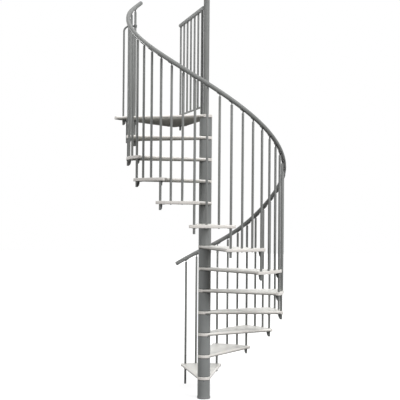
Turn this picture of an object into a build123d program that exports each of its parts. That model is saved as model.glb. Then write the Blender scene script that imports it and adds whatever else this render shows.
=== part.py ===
from build123d import *
from math import asin, cos, degrees, hypot, pi, radians, sin, sqrt
import os

os.makedirs("parts", exist_ok=True)

# Climb: millimetres and degrees, seen from above the stair climbs clockwise
riser = 220.0
tread_count = 12
tread_pitch = 25.3
start_angle = 105.0
bars_per_tread = 3

# Centre column
pole_radius = 30.15
pole_wall = 3.2
newel_above_guard = 120.0
newel_cap_height = 6.0
newel_cap_plug = 16.0
spacer_radius = 63.5
spacer_wall = 3.0

# Foot of the column
foot_plate_thickness = 12.0
foot_socket_wall = 6.05
foot_socket_height = 45.0
foot_bolt_hole_radius = 5.5
foot_bolt_count = 4
foot_ring_wall = 3.0
foot_ring_height = 22.0

# Treads and platform board
board_thickness = 30.0
hub_lip = 2.0
rim_radius = 800.0
tread_lap_angle = 3.25
corner_fillet = 14.0
board_edge = 2.0
nosing_radius = 14.0
nosing_hub_margin = 8.0
nosing_rim_margin = 22.0
nosing_overcut = 1.0

# Platform corners: each past the rim, and turned from the last long baluster
platform_front_overhang = 161.0
platform_front_turned = 4.75
platform_far_overhang = 340.6
platform_far_turned = -52.95
platform_rear_overhang = 161.4
platform_rear_turned = -57.7

# Balusters
rod_edge_distance = 18.0
long_rod_radius = 12.0
short_rod_radius = 11.5
rod_stub = 86.0

# Handrail
rail_radius = 21.2
rail_outset = 10.0
rail_height = 1380.0
rail_first_turn = -0.31
rail_last_turn = 12.4
rail_ease = 58.0
rail_ease_middle = 1.45
rail_ease_reach = 2.05
rail_top_ease = 33.0
rail_top_ease_start = 11.2
rail_cap_length = 4.0
rail_cap_taper = 25.0
saddle_length = 42.0
saddle_wall = 4.0
saddle_sweep = 96.0
saddle_stem_width = 10.0
saddle_stem_thickness = 7.0
saddle_stem_length = 20.0

# Brackets that hold the long balusters under the boards
bracket_width = 24.0
bracket_plate = 3.0
bracket_inner = 52.0
bracket_web = 8.0
bracket_end_gap = 2.0
bracket_reach = 26.0
bracket_straight = 16.0
bracket_round = 42.0

# Guard on the rear edge of the platform
guard_turned = -55.4
guard_beside_axis = 35.0
guard_inner_reach = 40.0
guard_post_overhang = 104.0
guard_gap_count = 6
guard_rail_height = 1080.0
guard_rail_overhang = 34.0
guard_rail_round = 12.0
guard_foot_rail_height = 82.0
guard_foot_rail_radius = 10.0
guard_bar_radius = 10.5
guard_post_radius = 11.0
guard_inner_post_radius = 13.0

# Hoop at the front corner of the platform
hoop_turned = 1.6
hoop_overhang = 99.0
hoop_below_rod_top = 150.0
hoop_radius = 10.0
hoop_bend = 55.0
hoop_clamp_wall = 5.0
hoop_clamp_height = 26.0

# Brackets that bolt the platform to the edge of the floor above
slab_bracket_width = 25.0
slab_bracket_thickness = 6.0
slab_bracket_depth = 272.0
slab_bracket_foot = 40.0
slab_bracket_inset = 56.0
slab_bracket_front_margin = 110.0
slab_bracket_rear_margin = 136.0
slab_bolt_hole_radius = 5.5
slab_bolt_from_end = 25.0

# Clearances
gap = 0.3
rail_tube_tolerance = 0.01

# Levels and angles worked out from the sizes above
platform_level = riser * (tread_count + 1)
hub_radius = spacer_radius + hub_lip
tread_half_angle = tread_pitch / 2 + tread_lap_angle
rod_circle_radius = rim_radius - rod_edge_distance
rail_circle_radius = rod_circle_radius + rail_outset
landing_angle = start_angle - tread_count * tread_pitch
guard_angle = landing_angle + guard_turned
hoop_angle = landing_angle + hoop_turned
saddle_start = -90 - saddle_sweep / 2
tread_numbers = range(1, tread_count + 1)
long_turns = range(tread_count + 1)
short_turns = [
    tread + step / bars_per_tread
    for tread in range(tread_count)
    for step in range(1, bars_per_tread)
]
rod_turns = sorted([*long_turns, *short_turns])


def angle_at(turn):
    """Angle in degrees of a place that lies a number of tread pitches up the stair."""
    return start_angle - turn * tread_pitch


def polar(radius, angle, height=0.0):
    """Point from a distance to the column axis, an angle in degrees and a height."""
    return Vector(radius * cos(radians(angle)), radius * sin(radians(angle)), height)


def rail_level(turn):
    """Height of the handrail's centre: an even climb that eases at its foot and its top."""
    along = min(abs(turn - rail_ease_middle) / rail_ease_reach, 1)
    foot_ease = rail_ease * (1 + cos(pi * along)) / 2
    along = max(turn - rail_top_ease_start, 0) / (rail_last_turn - rail_top_ease_start)
    top_ease = rail_top_ease * (1 - cos(pi * along)) / 2
    return rail_height + riser * turn - foot_ease - top_ease


def rail_point(turn):
    """Centre of the handrail a number of tread pitches up the stair."""
    return polar(rail_circle_radius, angle_at(turn), rail_level(turn))


def rail_plane(turn):
    """Plane across the handrail, with x away from the column and z along the climb."""
    step = 0.01
    along = rail_point(turn + step) - rail_point(turn - step)
    outward = polar(1, angle_at(turn))
    return Plane(origin=rail_point(turn), x_dir=outward, z_dir=along)


def rod_top(turn):
    """Height where a baluster stops, a stem's length below the handrail."""
    return rail_level(turn) - rail_radius - saddle_stem_length


def guard_point(reach, height=0.0):
    """Point of the guard's upright plane, which passes beside the column axis."""
    return polar(reach, guard_angle, height) + polar(guard_beside_axis, guard_angle + 90)


def nosing_waste(corner_angle, side, lean, reach, top):
    """What a router takes off a board's straight side, from near the hub to near the rim."""
    along = corner_angle - side * lean
    outward = polar(1, along + side * 90)
    start = outward * hub_radius + polar(nosing_hub_margin, along, top - board_thickness / 2)
    side_length = sqrt(reach**2 - (hub_radius - corner_fillet) ** 2)
    with BuildPart() as waste:
        with BuildSketch(Plane(start, x_dir=outward, z_dir=polar(1, along))):
            with Locations(((nosing_overcut - nosing_radius) / 2, 0)):
                Rectangle(nosing_radius + nosing_overcut, board_thickness + 2 * nosing_overcut)
            with Locations((-board_thickness, 0)):
                RectangleRounded(
                    2 * board_thickness, board_thickness, nosing_radius, mode=Mode.SUBTRACT
                )
        extrude(amount=side_length - nosing_hub_margin - nosing_rim_margin)
    return waste.part


def finish(builder, name):
    """Label a finished piece and write its file."""
    builder.part.label = name
    export_step(builder.part, f"parts/{name}.step")


# Foot plate: a disc bolted to the floor, with a socket that holds the pole
foot_socket_radius = pole_radius + gap + foot_socket_wall
foot_bolt_circle_radius = (foot_socket_radius + spacer_radius - spacer_wall) / 2
with BuildPart() as foot_plate:
    with BuildSketch():
        Circle(spacer_radius)
    extrude(amount=foot_plate_thickness)
    with BuildSketch(Plane.XY.offset(foot_plate_thickness)):
        Circle(foot_socket_radius)
        Circle(pole_radius + gap, mode=Mode.SUBTRACT)
    extrude(amount=foot_socket_height)
    with PolarLocations(foot_bolt_circle_radius, foot_bolt_count, start_angle=45):
        Hole(foot_bolt_hole_radius)
finish(foot_plate, "foot_plate")

# Foot ring: the slim sleeve that covers the joint between plate and column
with BuildPart() as foot_ring:
    with BuildSketch():
        Circle(spacer_radius + gap + foot_ring_wall)
        Circle(spacer_radius + gap, mode=Mode.SUBTRACT)
    extrude(amount=foot_ring_height)
    top_edge = foot_ring.edges().group_by(Axis.Z)[-1].sort_by(SortBy.RADIUS)[-1]
    chamfer(top_edge, foot_ring_wall / 2)
finish(foot_ring, "foot_ring")

# Centre pole: one tube from the foot plate to the top of the newel post
pole_top = platform_level + guard_rail_height + newel_above_guard
with BuildPart() as centre_pole:
    with BuildSketch(Plane.XY.offset(foot_plate_thickness)):
        Circle(pole_radius)
        Circle(pole_radius - pole_wall, mode=Mode.SUBTRACT)
    extrude(amount=pole_top - foot_plate_thickness)
finish(centre_pole, "centre_pole")

# Newel cap: a flat lid with a plug inside the tube
plug_radius = pole_radius - pole_wall - gap
with BuildPart() as newel_cap:
    with BuildSketch(Plane.XY.offset(pole_top - newel_cap_plug)):
        Circle(plug_radius)
    extrude(amount=newel_cap_plug)
    with BuildSketch(Plane.XY.offset(pole_top)):
        Circle(pole_radius)
    extrude(amount=newel_cap_height)
finish(newel_cap, "newel_cap")

# Column spacers: a tube clamped between each pair of boards
with BuildPart() as column_spacers:
    for level in range(tread_count + 1):
        bottom = level * riser if level else foot_plate_thickness
        with BuildSketch(Plane.XY.offset(bottom)):
            Circle(spacer_radius)
            Circle(spacer_radius - spacer_wall, mode=Mode.SUBTRACT)
        extrude(amount=(level + 1) * riser - board_thickness - bottom)
finish(column_spacers, "column_spacers")

# Treads: a round hub, straight sides that touch it with a stopped nosing, and an arc at the rim
for number in tread_numbers:
    middle = angle_at(number - 0.5)
    side_reach = rim_radius / cos(radians(tread_half_angle))
    with BuildPart() as tread:
        with BuildSketch(Plane.XY.offset(number * riser - board_thickness)):
            Circle(hub_radius)
            with Locations(
                polar(side_reach, middle + tread_half_angle),
                polar(side_reach, middle - tread_half_angle),
            ):
                Circle(gap)
            make_hull()
            Circle(rim_radius, mode=Mode.INTERSECT)
        extrude(amount=board_thickness)
        upright = tread.edges().filter_by(Axis.Z)
        fillet(upright.sort_by(lambda edge: Vector(edge.center().X, edge.center().Y).length)[-2:],
               corner_fillet)
        chamfer(tread.faces().sort_by(Axis.Z)[-1].edges(), board_edge)
        lean = degrees(asin((hub_radius - gap) / side_reach))
        for side in (1, -1):
            corner_angle = middle + side * tread_half_angle
            reach = rim_radius - corner_fillet
            add(nosing_waste(corner_angle, side, lean, reach, number * riser), mode=Mode.SUBTRACT)
        with Locations((0, 0, number * riser)):
            Hole(pole_radius + gap, depth=board_thickness)
        with Locations(
            polar(rod_circle_radius, angle_at(number - 1), number * riser),
            polar(rod_circle_radius, angle_at(number), number * riser),
        ):
            Hole(long_rod_radius + gap, depth=board_thickness)
    finish(tread, f"tread_{number:02d}")

# Platform board: a wedge with three blunt corners, tangent to the hub like a tread
platform_underside = platform_level - board_thickness
front_corner, far_corner, rear_corner = (
    polar(rim_radius + overhang, landing_angle + turned)
    for overhang, turned in (
        (platform_front_overhang, platform_front_turned),
        (platform_far_overhang, platform_far_turned),
        (platform_rear_overhang, platform_rear_turned),
    )
)
front_post = polar(rim_radius + hoop_overhang, hoop_angle)
rear_post_reach = rim_radius + guard_post_overhang
rear_post = guard_point(rear_post_reach)
with BuildPart() as platform_board:
    with BuildSketch(Plane.XY.offset(platform_underside)):
        Circle(hub_radius)
        with Locations(front_corner, far_corner, rear_corner):
            Circle(corner_fillet)
        make_hull()
    extrude(amount=board_thickness)
    chamfer(platform_board.faces().sort_by(Axis.Z)[-1].edges(), board_edge)
    for side, corner, turned in (
        (1, front_corner, platform_front_turned),
        (-1, rear_corner, platform_rear_turned),
    ):
        reach = corner.length
        lean = degrees(asin((hub_radius - corner_fillet) / reach))
        corner_angle = landing_angle + turned
        add(nosing_waste(corner_angle, side, lean, reach, platform_level), mode=Mode.SUBTRACT)
    with Locations((0, 0, platform_level)):
        Hole(pole_radius + gap, depth=board_thickness)
    with Locations(polar(rod_circle_radius, angle_at(tread_count), platform_level)):
        Hole(long_rod_radius + gap, depth=board_thickness)
    with Locations((rear_post.X, rear_post.Y, platform_level)):
        Hole(guard_post_radius + gap, depth=board_thickness)
    with Locations((front_post.X, front_post.Y, platform_level)):
        Hole(hoop_radius + gap, depth=board_thickness)
finish(platform_board, "platform_board")

# Long balusters: each runs through the rear of one board and the front of the next
for turn in long_turns:
    bottom = turn * riser - rod_stub if turn else 0.0
    with BuildPart() as long_baluster:
        with BuildSketch(Plane(polar(rod_circle_radius, angle_at(turn), bottom))):
            Circle(long_rod_radius)
        extrude(amount=rod_top(turn) - bottom)
    finish(long_baluster, f"long_baluster_{turn + 1:02d}")

# Short balusters: pairs that stand on each tread between the long ones
half = len(short_turns) // 2
for name, turns in (("lower", short_turns[:half]), ("upper", short_turns[half:])):
    with BuildPart() as short_balusters:
        for turn in turns:
            foot = (int(turn) + 1) * riser
            with BuildSketch(Plane(polar(rod_circle_radius, angle_at(turn), foot))):
                Circle(short_rod_radius)
            extrude(amount=rod_top(turn) - foot)
    finish(short_balusters, f"short_balusters_{name}")

# Handrail: rolled in arcs that climb from baluster to baluster along the eased spiral
rail_turns = [rail_first_turn, *rod_turns, rail_last_turn]
with BuildPart() as handrail:
    with BuildLine() as rail_path:
        for below, middle, above in zip(rail_turns[::2], rail_turns[1::2], rail_turns[2::2]):
            ThreePointArc(rail_point(below), rail_point(middle), rail_point(above))
    with BuildSketch(rail_path.line ^ 0):
        Circle(rail_radius)
    sweep()
finish(handrail, "handrail")

# Handrail end caps: round plates that taper a little over each end
with BuildPart() as handrail_end_caps:
    for end in handrail.faces().filter_by(GeomType.PLANE):
        with BuildSketch(Plane(end)):
            Circle(rail_radius)
        extrude(amount=rail_cap_length, taper=rail_cap_taper)
finish(handrail_end_caps, "handrail_end_caps")

# Saddles: cupped plates under the handrail, each on a flat stem that stands on a baluster.
# A cup is straight, so it clears the tube's tolerance and the rail's bow over its length.
rail_run_per_turn = rail_circle_radius * radians(tread_pitch)
ease_curvature = rail_ease * (pi / rail_ease_reach / rail_run_per_turn) ** 2 / 2
rail_bow = saddle_length**2 / 8 * hypot(1 / rail_circle_radius, ease_curvature)
cup_radius = rail_radius * (1 + rail_tube_tolerance) + rail_bow
saddles = []
for turn in rod_turns:
    across = rail_plane(turn).offset(-saddle_length / 2)
    with BuildPart() as saddle:
        foot = polar(rod_circle_radius, angle_at(turn), rod_top(turn))
        with BuildSketch(Plane(foot, x_dir=polar(1, angle_at(turn)))):
            Rectangle(saddle_stem_width, saddle_stem_thickness)
        extrude(amount=saddle_stem_length + rail_radius)
        with BuildSketch(across):
            with BuildLine():
                inner = CenterArc((0, 0), cup_radius, saddle_start, saddle_sweep)
                outer = CenterArc((0, 0), cup_radius + saddle_wall, saddle_start, saddle_sweep)
                Line(inner @ 0, outer @ 0)
                Line(inner @ 1, outer @ 1)
            make_face()
        extrude(amount=saddle_length)
        with BuildSketch(rail_plane(turn)):
            Circle(cup_radius)
        extrude(amount=saddle_length / 2 + rail_radius, both=True, mode=Mode.SUBTRACT)
    saddles.append(saddle.part)
with BuildPart() as rail_saddles:
    add(saddles)
finish(rail_saddles, "rail_saddles")

# Rim brackets: a plate screwed under the board and a rounded web that braces the baluster
bracket_drop = rod_stub - board_thickness - bracket_end_gap
bracket_places = [
    (polar(rod_circle_radius, angle_at(turn), level * riser - board_thickness), long_rod_radius)
    for turn in long_turns
    for level in (turn, turn + 1)
    if level > 0
]
bracket_places.append((Vector(rear_post.X, rear_post.Y, platform_underside), guard_post_radius))
bracket_places.append((Vector(front_post.X, front_post.Y, platform_underside), hoop_radius))
brackets = []
for place, rod_radius in bracket_places:
    inward = Vector(-place.X, -place.Y, 0)
    seat = rod_radius + gap
    far = seat + bracket_reach
    with BuildPart() as bracket:
        with BuildSketch(Plane(place, x_dir=inward, z_dir=(0, 0, -1))):
            with Locations(((seat + bracket_inner) / 2, 0)):
                Rectangle(bracket_inner - seat, bracket_width)
        extrude(amount=bracket_plate)
        with BuildSketch(Plane(place, x_dir=inward, z_dir=inward.cross(Vector(0, 0, 1)))):
            with BuildLine():
                Polyline((seat, -bracket_drop), (seat, 0), (far, 0), (far, -bracket_straight))
                RadiusArc((far, -bracket_straight), (seat, -bracket_drop), bracket_round)
            make_face()
        extrude(amount=bracket_web / 2, both=True)
    brackets.append(bracket.part)
with BuildPart() as rim_brackets:
    add(brackets)
finish(rim_brackets, "rim_brackets")

# Guard on the rear edge of the platform: rails, bars and two posts in one upright plane
guard_rail_level = platform_level + guard_rail_height
guard_foot_level = platform_level + guard_foot_rail_height
guard_gap = (rear_post_reach - guard_inner_reach) / guard_gap_count
guard_bar_reaches = [guard_inner_reach + guard_gap * count for count in range(1, guard_gap_count)]
guard_direction = polar(1, guard_angle)
rail_underside = guard_rail_level - rail_radius - gap

with BuildPart() as guard_rail:
    length = rear_post_reach + guard_rail_overhang
    with BuildSketch(Plane(guard_point(0, guard_rail_level), z_dir=guard_direction)):
        Circle(rail_radius)
    extrude(amount=length)
    fillet(guard_rail.faces().sort_by(Axis((0, 0, 0), guard_direction))[-1].edges(), guard_rail_round)
    with BuildSketch(Plane.XY):
        Circle(pole_radius + gap)
    extrude(amount=guard_rail_level + 2 * rail_radius, mode=Mode.SUBTRACT)
finish(guard_rail, "guard_rail")

with BuildPart() as guard_end_post:
    bottom = platform_level - rod_stub
    with BuildSketch(Plane((rear_post.X, rear_post.Y, bottom))):
        Circle(guard_post_radius)
    extrude(amount=rail_underside - bottom)
finish(guard_end_post, "guard_end_post")

with BuildPart() as guard_inner_post:
    with BuildSketch(Plane(guard_point(guard_inner_reach, platform_level))):
        Circle(guard_inner_post_radius)
    extrude(amount=rail_underside - platform_level)
finish(guard_inner_post, "guard_inner_post")

with BuildPart() as guard_foot_rail:
    start = guard_inner_reach + guard_inner_post_radius + gap
    length = rear_post_reach - guard_post_radius - gap - start
    with BuildSketch(Plane(guard_point(start, guard_foot_level), z_dir=guard_direction)):
        Circle(guard_foot_rail_radius)
    extrude(amount=length)
finish(guard_foot_rail, "guard_foot_rail")

with BuildPart() as guard_bars:
    bottom = guard_foot_level + guard_foot_rail_radius + gap
    for reach in guard_bar_reaches:
        with BuildSketch(Plane(guard_point(reach, bottom))):
            Circle(guard_bar_radius)
        extrude(amount=rail_underside - bottom)
finish(guard_bars, "guard_bars")

# Hoop: a bent rod from the front corner of the board to the last long baluster
last_rod = polar(rod_circle_radius, angle_at(tread_count))
hoop_level = rod_top(tread_count) - hoop_below_rod_top
toward_rod = Vector(last_rod.X - front_post.X, last_rod.Y - front_post.Y, 0)
clamp_radius = long_rod_radius + gap + hoop_clamp_wall
hoop_span = toward_rod.length - clamp_radius - gap
with BuildPart() as hoop:
    hoop_plane = Plane(
        (front_post.X, front_post.Y, platform_level - rod_stub),
        x_dir=toward_rod,
        z_dir=toward_rod.cross(Vector(0, 0, 1)),
    )
    with BuildLine(hoop_plane) as hoop_path:
        rise = hoop_level - platform_level + rod_stub
        FilletPolyline((0, 0), (0, rise), (hoop_span, rise), radius=hoop_bend)
    with BuildSketch(Plane((front_post.X, front_post.Y, platform_level - rod_stub))):
        Circle(hoop_radius)
    sweep()
finish(hoop, "hoop")

with BuildPart() as hoop_clamp:
    with BuildSketch(Plane((last_rod.X, last_rod.Y, hoop_level - hoop_clamp_height / 2))):
        Circle(clamp_radius)
        Circle(long_rod_radius + gap, mode=Mode.SUBTRACT)
    extrude(amount=hoop_clamp_height)
finish(hoop_clamp, "hoop_clamp")

# Slab brackets: flat bars that hang from the platform's outer edge for its wall bolts
edge_length = (far_corner - front_corner).length
edge = (far_corner - front_corner).normalized()
edge_inward = Vector(edge.Y, -edge.X, 0)
slab_bracket_places = {
    "front": slab_bracket_front_margin,
    "rear": edge_length - slab_bracket_rear_margin,
}
for name, along in slab_bracket_places.items():
    place = front_corner + edge * along + edge_inward * slab_bracket_inset
    with BuildPart() as slab_bracket:
        top = Vector(place.X, place.Y, platform_underside)
        drop = slab_bracket_depth - board_thickness
        with BuildSketch(Plane(top, x_dir=edge, z_dir=edge_inward)):
            with Locations((0, -drop / 2)):
                Rectangle(slab_bracket_width, drop)
            with Locations((0, slab_bolt_from_end - drop)):
                Circle(slab_bolt_hole_radius, mode=Mode.SUBTRACT)
        extrude(amount=slab_bracket_thickness)
        with BuildSketch(Plane(top, x_dir=edge, z_dir=(0, 0, -1))):
            with Locations((0, -slab_bracket_foot / 2)):
                Rectangle(slab_bracket_width, slab_bracket_foot)
        extrude(amount=slab_bracket_thickness)
    finish(slab_bracket, f"slab_bracket_{name}")
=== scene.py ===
"""Looks of a spiral staircase: white glazed plywood treads round a grey powder-coated column."""
import logging
import math
from dataclasses import dataclass, field
from enum import Enum

import bmesh
import bpy
from mathutils import Matrix, Vector


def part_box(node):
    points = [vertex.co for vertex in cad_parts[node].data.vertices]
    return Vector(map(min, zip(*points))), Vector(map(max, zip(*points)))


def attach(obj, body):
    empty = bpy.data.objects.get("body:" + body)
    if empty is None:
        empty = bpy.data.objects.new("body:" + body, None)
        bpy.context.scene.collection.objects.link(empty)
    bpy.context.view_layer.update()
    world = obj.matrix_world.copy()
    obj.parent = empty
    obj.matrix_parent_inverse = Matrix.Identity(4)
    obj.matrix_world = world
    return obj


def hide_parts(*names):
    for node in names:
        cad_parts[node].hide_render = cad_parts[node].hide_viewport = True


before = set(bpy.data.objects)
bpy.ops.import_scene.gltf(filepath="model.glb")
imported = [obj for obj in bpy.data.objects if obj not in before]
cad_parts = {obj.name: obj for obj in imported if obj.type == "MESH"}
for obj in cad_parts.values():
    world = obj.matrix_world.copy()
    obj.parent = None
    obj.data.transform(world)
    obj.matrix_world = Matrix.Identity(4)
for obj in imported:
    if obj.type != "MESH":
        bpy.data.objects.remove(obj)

logging.basicConfig(level=logging.INFO, format="%(message)s")
log = logging.getLogger("staircase")

BODY = "root"
WHITE = (1.0, 1.0, 1.0, 1.0)
UP = Vector((0, 0, 1))
SAME_PLACE = 1e-6  # vertices closer than this are one
CORNER = 60.0  # degrees between faces from which an edge is a corner to round
SMOOTH = 32.0  # degrees between faces up to which they shade as one
LEVEL = 0.9999  # upright share of a level face's normal

Value = bpy.types.NodeSocket | float | tuple  # what an input socket can be fed with
Sockets = bpy.types.bpy_prop_collection


# Shader nodes


class Wires:
    """Puts nodes into a node tree and joins their sockets."""

    def __init__(self, tree: bpy.types.NodeTree) -> None:
        """Take the tree that the nodes go into."""
        self.tree = tree

    def feed(self, socket: bpy.types.NodeSocket, value: Value) -> None:
        """Link a socket to a node's output, or set it to a plain value.

        Args:
            socket: Input socket.
            value: Output socket, number, vector or colour.
        """
        if isinstance(value, bpy.types.NodeSocket):
            self.tree.links.new(value, socket)
        else:
            socket.default_value = value

    def node(self, kind: str, feeds: dict | None = None, **settings: object) -> bpy.types.Node:
        """Add a shader node.

        Args:
            kind: Blender's name of the node's type, after ShaderNode.
            feeds: Name or number of an input to its value or the socket that feeds it.
            **settings: Properties of the node.

        Returns:
            The new node.
        """
        node = self.tree.nodes.new("ShaderNode" + kind)
        for key, value in settings.items():
            setattr(node, key, value)
        for key, value in (feeds or {}).items():
            self.feed(node.inputs[key], value)
        return node

    def math(self, operation: str, *values: Value) -> bpy.types.NodeSocket:
        """Return the result of an operation on values or sockets."""
        return self.node("Math", dict(enumerate(values)), operation=operation).outputs[0]

    def spread(
        self, value: Value, low: float, high: float, least: float = 0.0, most: float = 1.0
    ) -> bpy.types.NodeSocket:
        """Map a value from one range to another.

        Args:
            value: Socket that gives the value.
            low: Start of its range.
            high: End of its range.
            least: What the start becomes.
            most: What the end becomes.

        Returns:
            Socket of the mapped value.
        """
        feeds = dict(enumerate((value, low, high, least, most)))
        return self.node("MapRange", feeds).outputs[0]

    def blend(self, share: Value, first: Value, second: Value) -> bpy.types.NodeSocket:
        """Return a mix of two colours by the share of the second."""
        return self.node("Mix", {0: share, 6: first, 7: second}, data_type="RGBA").outputs[2]

    def stretch(self, vector: Value, scale: tuple) -> bpy.types.NodeSocket:
        """Return a vector multiplied by a scale along each axis."""
        return self.node("VectorMath", {0: vector, 1: scale}, operation="MULTIPLY").outputs[0]

    def noise(self, vector: Value, scale: Value = 1.0, **more: float) -> bpy.types.NodeSocket:
        """Return a soft noise over a vector, with more of its inputs by name."""
        return self.node("TexNoise", {"Vector": vector, "Scale": scale, **more}).outputs["Fac"]

    def group(self, tree: bpy.types.NodeTree, feeds: dict) -> Sockets:
        """Place a node group and return its outputs."""
        return self.node("Group", feeds, node_tree=tree).outputs

    def bump(self, height: Value, shader: Sockets, distance: float, strength: float) -> None:
        """Feed a height into a shader's normal.

        Args:
            height: Socket that gives the height.
            shader: Inputs of the shader that takes the normal.
            distance: Height of the relief in metres.
            strength: Strength of the relief.
        """
        feeds = {"Distance": distance, "Strength": strength, "Height": height}
        self.feed(shader["Normal"], self.node("Bump", feeds).outputs["Normal"])


def open_group(name: str, inputs: dict) -> tuple:
    """Start a shader node group.

    Args:
        name: Name of the group.
        inputs: Input name to a default number, a default colour, or None for a vector.

    Returns:
        The group's wires, and its inputs as sockets to link from.
    """
    kinds = {type(None): "NodeSocketVector", float: "NodeSocketFloat", tuple: "NodeSocketColor"}
    tree = bpy.data.node_groups.new(name, "ShaderNodeTree")
    for label, value in inputs.items():
        kind = kinds[type(value)]
        socket = tree.interface.new_socket(name=label, in_out="INPUT", socket_type=kind)
        if value is not None:
            socket.default_value = value
    return Wires(tree), tree.nodes.new("NodeGroupInput").outputs


def close_group(wires: Wires, outputs: dict) -> bpy.types.NodeTree:
    """Give a shader node group its outputs.

    Args:
        wires: Wires of the group.
        outputs: Output name to the socket that feeds it.

    Returns:
        The group.
    """
    for label in outputs:
        kind = "NodeSocketColor" if label == "Color" else "NodeSocketFloat"
        wires.tree.interface.new_socket(name=label, in_out="OUTPUT", socket_type=kind)
    sink = wires.tree.nodes.new("NodeGroupOutput")
    for label, value in outputs.items():
        wires.feed(sink.inputs[label], value)
    return wires.tree


def build_mottle() -> bpy.types.NodeTree:
    """Build the group that varies a colour softly over a surface.

    Returns:
        The node group.
    """
    inputs = {"Vector": None, "Light Colour": WHITE, "Dark Colour": WHITE, "Scale": 6.0}
    wires, given = open_group("soft_mottle", inputs)
    clouds = wires.noise(given["Vector"], given["Scale"], Detail=3.0, Roughness=0.55)
    mask = wires.spread(clouds, low=0.32, high=0.68)
    colour = wires.blend(mask, given["Dark Colour"], given["Light Colour"])
    return close_group(wires, {"Color": colour, "Mask": mask})


def build_orange_peel() -> bpy.types.NodeTree:
    """Build the group that gives the fine pebbled height of a baked powder coat.

    Returns:
        The node group.
    """
    wires, given = open_group("orange_peel", {"Vector": None, "Grain Scale": 900.0})
    feeds = {"Vector": given["Vector"], "Scale": given["Grain Scale"]}
    pebble = wires.node("TexVoronoi", feeds, feature="SMOOTH_F1").outputs["Distance"]
    cloud = wires.noise(given["Vector"], 40.0, Detail=2.0)
    pebble_share = 0.6
    height = wires.math("MULTIPLY_ADD", pebble, pebble_share, cloud)
    rough = wires.spread(cloud, low=0.3, high=0.7, least=0.36, most=0.5)
    return close_group(wires, {"Height": height, "Roughness": rough})


def build_ply_edge() -> bpy.types.NodeTree:
    """Build the group that stripes a board's edge with the layers of plywood.

    Returns:
        The node group.
    """
    inputs = {"Edge Vector": None, "Layer": 0.0018, "Light Colour": WHITE, "Dark Colour": WHITE}
    wires, given = open_group("plywood_layers", inputs)
    place = given["Edge Vector"]
    across = wires.node("SeparateXYZ", {0: place}).outputs["X"]
    wobble = wires.noise(place, 14.0, Detail=2.0)
    sway = 0.0012
    swayed = wires.math("MULTIPLY_ADD", wobble, sway, across)
    wave = wires.math("PINGPONG", wires.math("DIVIDE", swayed, given["Layer"]), 1.0)
    streak = wires.noise(wires.stretch(place, scale=(700, 26, 1)), Detail=3.0, Roughness=0.7)
    mask = wires.spread(wires.math("MULTIPLY", wave, streak), low=0.08, high=0.5)
    colour = wires.blend(mask, given["Dark Colour"], given["Light Colour"])
    return close_group(wires, {"Color": colour, "Height": mask})


def build_wood_face() -> bpy.types.NodeTree:
    """Build the group for a glazed veneer: short pores and faint bands along the board.

    Returns:
        The node group.
    """
    colours = {"Glaze Colour": WHITE, "Pore Colour": WHITE, "Band Colour": WHITE}
    wires, given = open_group("glazed_veneer", {"Vector": None, **colours})
    fine = wires.stretch(given["Vector"], scale=(60, 700, 1))
    pores = wires.spread(wires.noise(fine, Detail=2.0, Roughness=0.6), low=0.61, high=0.72)
    wide = wires.stretch(given["Vector"], scale=(4, 34, 1))
    clouds = wires.noise(wide, Detail=4.0, Roughness=0.6, Distortion=0.6)
    bands = wires.spread(clouds, low=0.4, high=0.66)
    banded = wires.blend(bands, given["Glaze Colour"], given["Band Colour"])
    colour = wires.blend(pores, banded, given["Pore Colour"])
    return close_group(wires, {"Color": colour, "Height": wires.math("SUBTRACT", 1.0, pores)})


@dataclass(frozen=True)
class NodeGroups:
    """Shader node groups that several finishes share."""

    mottle: bpy.types.NodeTree
    orange_peel: bpy.types.NodeTree
    ply_edge: bpy.types.NodeTree
    wood_face: bpy.types.NodeTree

    @classmethod
    def build(cls) -> "NodeGroups":
        """Build every group once."""
        return cls(build_mottle(), build_orange_peel(), build_ply_edge(), build_wood_face())


# Finishes


def start_material(name: str, values: dict) -> tuple:
    """Start a material with one Principled shader.

    Args:
        name: Name of the material.
        values: Name of a shader input to its plain value.

    Returns:
        The material, its wires and its shader's inputs.
    """
    material = bpy.data.materials.new(name)
    material.use_nodes = True
    shader = material.node_tree.nodes["Principled BSDF"].inputs
    for label, value in values.items():
        shader[label].default_value = value
    return material, Wires(material.node_tree), shader


def mottled(
    wires: Wires, groups: NodeGroups, place: Value, colours: tuple, scale: float
) -> Sockets:
    """Place the group that varies a colour softly.

    Args:
        wires: Wires of the material.
        groups: Shared node groups.
        place: Socket that gives the place on the piece.
        colours: Light and dark colour.
        scale: Scale of the clouds.

    Returns:
        The outputs of the group's node.
    """
    light, dark = ((*colour, 1) for colour in colours)
    feeds = {"Vector": place, "Light Colour": light, "Dark Colour": dark, "Scale": scale}
    return wires.group(groups.mottle, feeds)


@dataclass(frozen=True)
class PowderCoat:
    """Baked powder coat on steel: satin, with a fine pebbled skin and faint cloudiness."""

    name: str
    light: tuple
    dark: tuple
    specular: float = 0.12
    cloud_scale: float = 5.0
    relief: tuple = (0.0002, 0.25)

    def build(self, groups: NodeGroups) -> bpy.types.Material:
        """Build the material.

        Args:
            groups: Shared node groups.

        Returns:
            The material.
        """
        material, wires, shader = start_material(self.name, {"Specular IOR Level": self.specular})
        place = wires.node("TexCoord").outputs["Object"]
        mottle = mottled(wires, groups, place, (self.light, self.dark), self.cloud_scale)
        peel = wires.group(groups.orange_peel, {"Vector": place})
        wires.feed(shader["Base Color"], mottle["Color"])
        wires.feed(shader["Roughness"], peel["Roughness"])
        wires.bump(peel["Height"], shader, *self.relief)
        return material


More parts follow.
